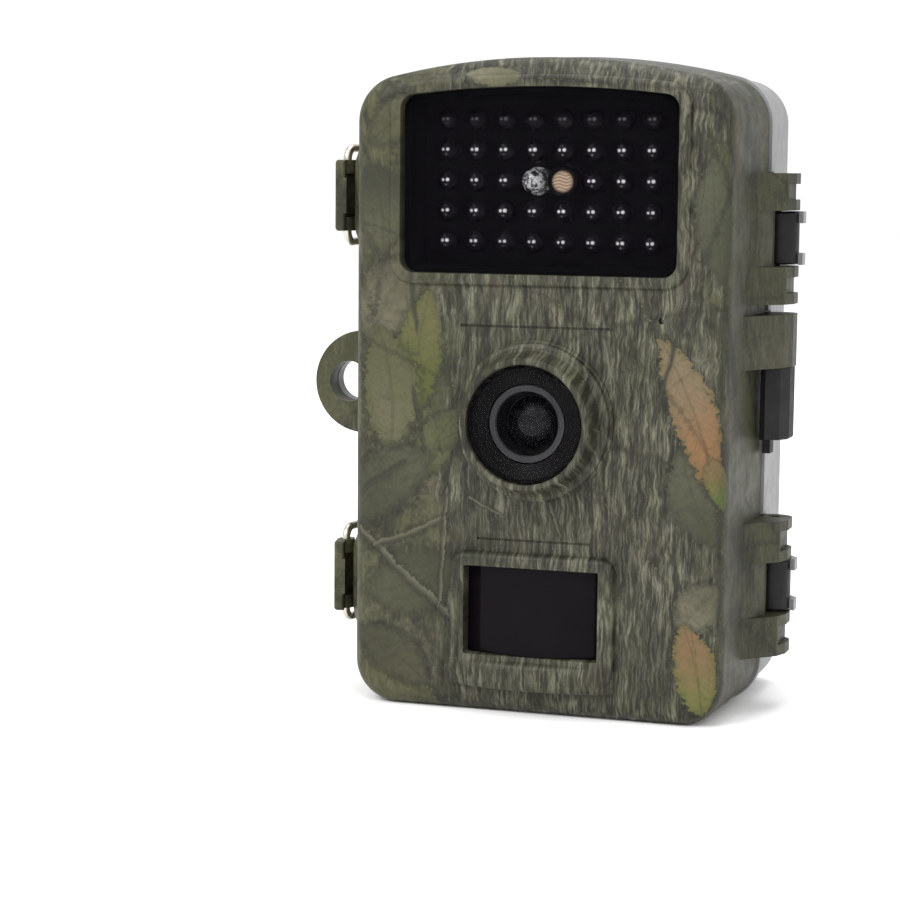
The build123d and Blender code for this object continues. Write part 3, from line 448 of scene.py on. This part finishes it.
def led_material():
    nb = NB("infrared_led", rough=0.09)
    c = nb.coord()
    n = nb.noise(c, 400.0, 3.0, 0.5)
    col = nb.mix(n, (0.003, 0.0027, 0.004), (0.006, 0.005, 0.007))
    # painted highlights: two bright glints near the top of each dome and a faint painted reflection below it, set on
    # the grid of the board and weaker on the top row
    x, y, z = nb.sep(c)[:3]
    u, v = [nb.math("MULTIPLY", nb.math("SUBTRACT", nb.math("FRACT", nb.math("ADD", nb.math("MULTIPLY", nb.math("SUBTRACT", q, o), 1000.0 / 6.23), 64.5)), 0.5), 6.23)
            for q, o in ((x, 0.5 * 0.00623), (z, 0.1094))]
    for du, dv, r in ((-0.55, 0.12, 0.30), (0.42, 0.16, 0.36), (0.05, -0.85, 0.17)):
        a = nb.math("SUBTRACT", u, du)
        b = nb.math("SUBTRACT", v, dv)
        d = nb.math("SQRT", nb.math("ADD", nb.math("MULTIPLY", a, a), nb.math("MULTIPLY", b, b)))
        d = nb.math("MULTIPLY_ADD", nb.math("SUBTRACT", n, 0.5), 0.25, d)
        col = nb.mix(nb.math("MULTIPLY", nb.step(d, r * 0.70, r * 1.2, 1.0 if r > 0.2 else 0.35, 0.0), nb.step(z, 0.1165, 0.1185, 1.0, 0.16)), col, (0.98, 0.97, 1.0))
    nb.base(col)
    nb.rough(nb.step(n, 0.3, 0.7, 0.10, 0.16))
    nb.b.inputs["Specular IOR Level"].default_value = 0.10
    return nb.m


def painted_glint_material():
    """Clear dome over the metal cup: painted highlights, broken white glints painted on a dark ground."""
    nb = NB("clear_led", rough=0.08)
    c = nb.coord()
    n = nb.noise(c, 950.0, 3.0, 0.6, 1.2)
    nb.base(nb.ramp(n, [(0.40, (0.02, 0.02, 0.022)), (0.49, (0.16, 0.16, 0.17)), (0.54, (0.98, 0.98, 1.0)), (0.62, (0.55, 0.56, 0.58)), (0.70, (1.0, 1.0, 1.0))]))
    nb.b.inputs["Alpha"].default_value = 0.85
    nb.rough(nb.step(n, 0.3, 0.7, 0.05, 0.12))
    nb.b.inputs["Coat Weight"].default_value = 0.8
    nb.m.surface_render_method = "BLENDED"
    return nb.m


def sensor_material():
    """Light sensor: a fine zigzag track on a tan face."""
    nb = NB("light_sensor_face", rough=0.28)
    x, y, z = nb.sep(nb.coord())[:3]
    lo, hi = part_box("light_sensor")
    cx, cz = (lo.x + hi.x) / 2, (lo.z + hi.z) / 2
    u = nb.math("MULTIPLY", nb.math("SUBTRACT", x, cx), 1000.0)
    v = nb.math("MULTIPLY", nb.math("SUBTRACT", z, cz), 1000.0)
    wig = nb.math("PINGPONG", nb.math("MULTIPLY_ADD", v, 1.0, nb.math("MULTIPLY", nb.math("SINE", nb.math("MULTIPLY", u, 2.0)), 0.2)), 0.34)
    col = nb.mix(nb.step(wig, 0.12, 0.20), (0.34, 0.21, 0.13), (0.66, 0.49, 0.34))
    r = nb.math("SQRT", nb.math("ADD", nb.math("MULTIPLY", u, u), nb.math("MULTIPLY", v, v)))
    col = nb.mix(nb.step(r, 1.5, 2.4), col, (0.14, 0.09, 0.06))
    nb.base(col)
    nb.b.inputs["Coat Weight"].default_value = 0.6
    return nb.m


def pir_material():
    nb = NB("detector_window", rough=0.16)
    c = nb.coord()
    x, y, z = nb.sep(c)[:3]
    Z = nb.math("MULTIPLY", z, 1000.0)
    ribs = nb.math("PINGPONG", nb.math("MULTIPLY", Z, 1.0), 0.22)
    n = nb.noise(c, 90.0, 3.0, 0.5)
    nb.base(nb.mix(n, (0.0025, 0.0018, 0.0028), (0.006, 0.0045, 0.006)))
    nb.rough(nb.step(nb.noise(c, 600.0, 3.0, 0.6), 0.35, 0.7, 0.12, 0.22))
    nb.b.inputs["Specular IOR Level"].default_value = 0.05
    nb.bump(nb.math("MULTIPLY", ribs, 1.0), 0.025, 0.0001)
    return nb.m


def cell_material():
    nb = NB("cell_sleeve", rough=0.3, Metallic=0.6)
    z = nb.sep(nb.coord())[2]
    band = nb.math("PINGPONG", nb.math("MULTIPLY", z, 1000.0), 24.0)
    n = nb.noise(nb.coord(), 200.0, 3.0, 0.5)
    col = nb.mix(nb.step(band, 8.0, 8.4), (0.45, 0.30, 0.12), nb.mix(n, (0.018, 0.020, 0.026), (0.035, 0.038, 0.045)))
    nb.base(col)
    nb.bump(n, 0.1, 0.0001)
    return nb.m


def screen_material():
    nb = NB("screen_face", rough=0.12)
    c = nb.coord()
    n = nb.noise(c, 60.0, 2.0, 0.5)
    nb.base(nb.mix(n, (0.010, 0.013, 0.018), (0.018, 0.022, 0.030)))
    return nb.m


CAMO = camo_material()
COVER = plastic("cover_plastic", (0.196, 0.201, 0.198), (0.220, 0.225, 0.221), rough=0.50, grain=1500.0, bump=0.22)
BLACK = plastic("black_plastic", (0.006, 0.006, 0.0065), (0.013, 0.013, 0.0135), rough=0.42, grain=1500.0, bump=0.2, spec=0.2)
INNER = plastic("inner_plastic", (0.010, 0.010, 0.011), (0.020, 0.020, 0.021), rough=0.55, grain=900.0, bump=0.25, spec=0.3)
GLOSS = plastic("gloss_black", (0.0022, 0.0020, 0.0022), (0.004, 0.0037, 0.004), rough=0.35, grain=2500.0, bump=0.0, spec=0.05)
RUBBER = plastic("rubber", (0.008, 0.008, 0.008), (0.015, 0.015, 0.015), rough=0.6, grain=1300.0, bump=0.3, spec=0.22)
RING = plastic("lens_ring_grey", (0.020, 0.019, 0.021), (0.034, 0.033, 0.035), rough=0.38, grain=2500.0, bump=0.0, spec=0.2)
KEY = plastic("key_rubber", (0.055, 0.055, 0.060), (0.085, 0.085, 0.090), rough=0.6, grain=1200.0, bump=0.25)
WHITE = plastic("knob_white", (0.55, 0.55, 0.53), (0.66, 0.66, 0.64), rough=0.45)
CHIP = plastic("chip_black", (0.012, 0.012, 0.013), (0.025, 0.025, 0.026), rough=0.5, grain=1500.0, bump=0.2)
STEEL = metal("steel", (0.46, 0.46, 0.46), (0.66, 0.66, 0.67), 0.30)
WIRE = metal("bail_wire", (0.44, 0.41, 0.35), (0.72, 0.68, 0.60), 0.26, (1, 1, 1), 500.0)
CAN = metal("sensor_can", (0.40, 0.40, 0.38), (0.60, 0.60, 0.58), 0.35)
BRASS = metal("brass", (0.46, 0.31, 0.10), (0.70, 0.50, 0.20), 0.28, (6, 6, 1), 500.0)
BOARD = board_material("circuit_board")
WINDOW = window_material()
LENSGLASS = clear_material("lens_cover_glass", (0.006, 0.006, 0.007), 0.06, 0.10, 0.10)
LCDGLASS = clear_material("screen_glass", (0.02, 0.022, 0.025), 0.22, 0.05)
CLEARLED = painted_glint_material()
LENS = clear_material("lens_element", (0.004, 0.004, 0.005), 1.0, 0.18, 0.16)
BLACKBOARD = plastic("black_board", (0.0015, 0.0015, 0.002), (0.003, 0.003, 0.0035), rough=0.7, grain=900.0, bump=0.1, spec=0.05)
TRAY = plastic("black_tray", (0.0015, 0.0015, 0.002), (0.003, 0.003, 0.0035), rough=0.8, grain=900.0, bump=0.1, spec=0.03)
LEDM, SENSOR, PIRM, CELL, SCREEN = led_material(), sensor_material(), pir_material(), cell_material(), screen_material()

SLOT_MATERIAL = {
    "camo": CAMO, "cover": COVER, "rubber": RUBBER, "black_plastic": BLACK, "gloss_black": GLOSS, "steel": STEEL, "wire": WIRE,
    "dark_glass": WINDOW, "board": BOARD, "led_dark": LEDM, "led_clear": CLEARLED, "sensor_tan": SENSOR, "glass": LENSGLASS,
    "lens_glass": LENS, "grey_ring": RING, "pir_black": PIRM, "can": CAN, "screen": SCREEN, "key_rubber": KEY, "key_white": WHITE,
    "chip": CHIP, "cell": CELL, "brass": BRASS}
for sp in frame["record"]["subparts"]:
    ob = N.get(sp["node"])
    if ob is None:
        continue
    mat = SLOT_MATERIAL[sp["material_slot"]]
    if sp["node"] in ("inner_chassis", "battery_lid"):
        mat = INNER
    if sp["node"] == "led_board":
        mat = BLACKBOARD
    if sp["node"] == "led_tray":
        mat = TRAY
    if sp["node"] == "lcd_window":
        mat = LCDGLASS
    ob.data.materials.clear()
    ob.data.materials.append(mat)
    for p in ob.data.polygons:
        p.material_index = 0


# ---------------------------------------------------------------- pieces
def lathe(name, profile, cx, cz, mat, seg=96):
    """Turn an (r, y) profile in mm about the axis along Y through (cx, cz)."""
    bm = bmesh.new()
    rings = []
    for r, y in profile:
        if r < 1e-6:
            rings.append([bm.verts.new(P(cx, y, cz))])
        else:
            rings.append([bm.verts.new(P(cx + r * math.cos(2 * math.pi * k / seg), y, cz + r * math.sin(2 * math.pi * k / seg))) for k in range(seg)])
    for a, b in zip(rings, rings[1:]):
        for k in range(seg):
            k2 = (k + 1) % seg
            if len(a) == 1 and len(b) == 1:
                continue
            if len(a) == 1:
                bm.faces.new((a[0], b[k], b[k2]))
            elif len(b) == 1:
                bm.faces.new((a[k], b[0], a[k2]))
            else:
                bm.faces.new((a[k], b[k], b[k2], a[k2]))
    bmesh.ops.recalc_face_normals(bm, faces=bm.faces)
    me = bpy.data.meshes.new(name)
    bm.to_mesh(me)
    bm.free()
    for p in me.polygons:
        p.use_smooth = True
    ob = bpy.data.objects.new(name, me)
    SCENE.collection.objects.link(ob)
    me.materials.append(mat)
    return ob


def join(name, obs):
    """Merge several mesh objects that share one material."""
    bm = bmesh.new()
    for o in obs:
        bm.from_mesh(o.data)
    me = bpy.data.meshes.new(name)
    bm.to_mesh(me)
    bm.free()
    me.materials.append(obs[0].data.materials[0])
    for p in me.polygons:
        p.use_smooth = True
    for o in obs:
        bpy.data.objects.remove(o)
    ob = bpy.data.objects.new(name, me)
    SCENE.collection.objects.link(ob)
    return ob


# metal cup inside the clear LED
sx = (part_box("status_led")[0].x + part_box("status_led")[1].x) * 500.0
sz = (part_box("status_led")[0].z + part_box("status_led")[1].z) * 500.0
cup = lathe("led_cup", [(0, 11.4), (0.5, 11.3), (1.1, 9.9), (1.35, 9.0), (1.2, 9.0), (0.4, 10.3), (0, 10.4)], sx - 0.2, sz, STEEL, 48)
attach(cup, "case")

for o in N.values():
    o.data.polygons.foreach_set("use_smooth", [True] * len(o.data.polygons))
    o.data.set_sharp_from_angle(angle=math.radians(28))


# ---------------------------------------------------------------- stage and light
def area(name, loc, target, size, power, color=(1, 1, 1), size_y=None):
    d = bpy.data.lights.new(name, "AREA")
    d.energy, d.color, d.size = power, color, size
    if size_y:
        d.shape, d.size_y = "RECTANGLE", size_y
    o = bpy.data.objects.new(name, d)
    SCENE.collection.objects.link(o)
    o.location = loc
    o.rotation_mode = "QUATERNION"
    o.rotation_quaternion = (Vector(target) - Vector(loc)).to_track_quat("-Z", "Y")
    return o


bm = bmesh.new()
R = 6.0
vs = [bm.verts.new((x, y, -0.0002)) for x, y in ((-R, -R), (R, -R), (R, R), (-R, R))]
bm.faces.new(vs)
me = bpy.data.meshes.new("floor")
bm.to_mesh(me)
bm.free()
floor = bpy.data.objects.new("floor", me)
SCENE.collection.objects.link(floor)
fb = NB("floor_pale", rough=0.85)
fb.base(fb.mix(fb.noise(fb.coord(), 4.0, 2.0, 0.5), (0.96, 0.96, 0.96), (0.98, 0.98, 0.98)))
fb.b.inputs["Specular IOR Level"].default_value = 0.1
me.materials.append(fb.m)

world = bpy.data.worlds.new("studio")
SCENE.world = world
world.use_nodes = True
bg = world.node_tree.nodes["Background"]
bg.inputs[0].default_value = (1.0, 1.0, 1.0, 1)
bg.inputs[1].default_value = 1.05
area("key", (-0.42, -0.85, 0.85), (0, 0, 0.06), 0.55, 9.0)
area("fill", (0.55, -0.80, 0.80), (0, 0, 0.06), 0.55, 3.0)
area("top", (0.0, 0.15, 1.1), (0, 0, 0.08), 0.6, 6.0)
SCENE.view_settings.view_transform = "Standard"
SCENE.view_settings.look = "None"
